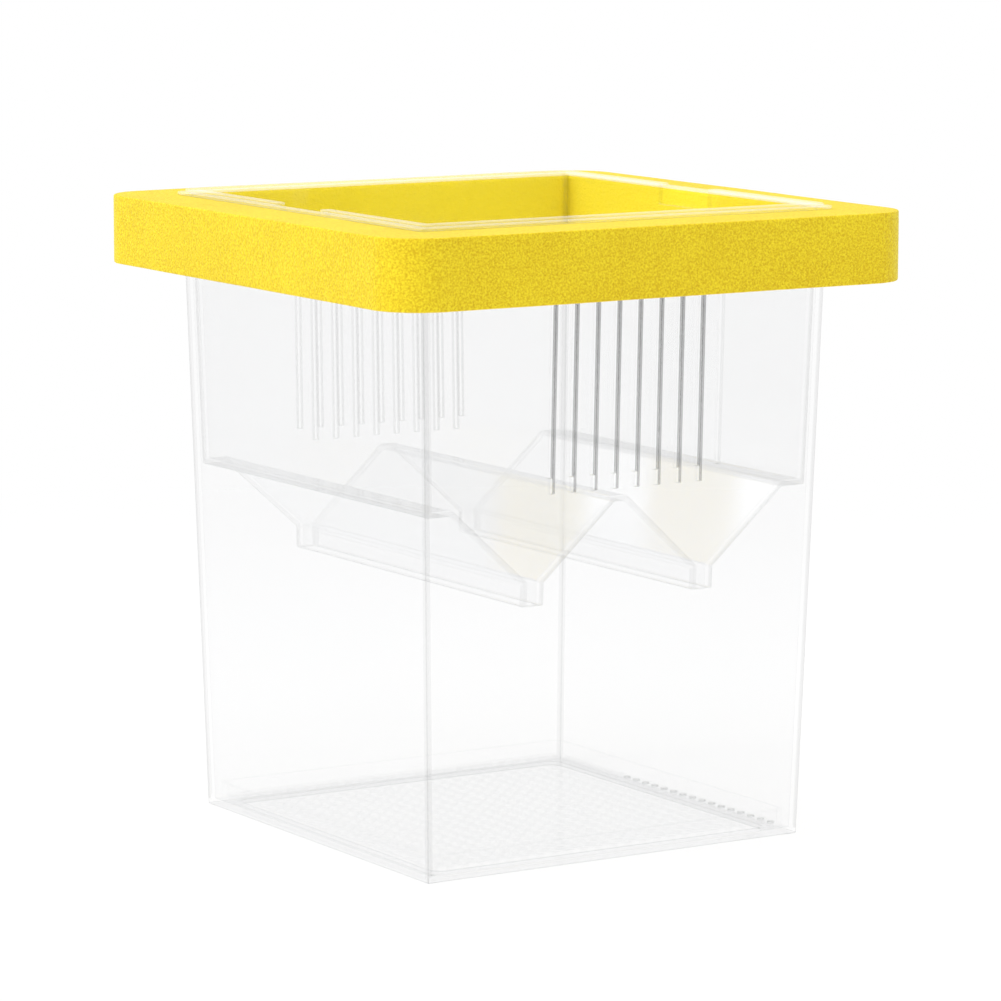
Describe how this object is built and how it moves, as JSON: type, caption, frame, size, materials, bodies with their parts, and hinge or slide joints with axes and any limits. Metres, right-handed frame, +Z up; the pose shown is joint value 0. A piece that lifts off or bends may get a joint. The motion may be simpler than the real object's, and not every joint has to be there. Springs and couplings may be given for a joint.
{
  "type": "floating fish breeding box",
  "caption": "Clear square breeding box with slotted walls in a yellow foam float ring, with a lift-out double-hopper inner box and a loose perforated tray.",
  "frame": {"origin": "centre of the square that the outer box stands on, at the table", "axes": "+Z up; +X along the slotted walls, across the two hopper chutes; +Y from the slotted front wall to the slotted back wall, along the chutes"},
  "size_m": [0.128, 0.128, 0.1362],
  "materials": {
    "clear_box": "clear, polished",
    "clear_hopper": "clear, polished",
    "clear_tray": "clear, polished",
    "foam": "fine closed-cell foam, cut faces"
  },
  "bodies": {
    "outer_box": {"outer_box": "clear_box"},
    "inner_box": {"inner_box": "clear_hopper"},
    "float_ring": {"float_ring": "foam"},
    "floor_tray": {"floor_tray": "clear_tray"}
  },
  "joints": [
    {"name": "lift_out", "type": "slide", "parent": "outer_box", "child": "inner_box", "axis": [0, 0, 1], "range_m": [0, 0.085]},
    {"name": "ring_off", "type": "slide", "parent": "outer_box", "child": "float_ring", "axis": [0, 0, -1], "range_m": [0, 0.119]},
    {"name": "tray_lift", "type": "slide", "parent": "outer_box", "child": "floor_tray", "axis": [0, 0, 1], "range_m": [0, 0.049]}
  ]
}
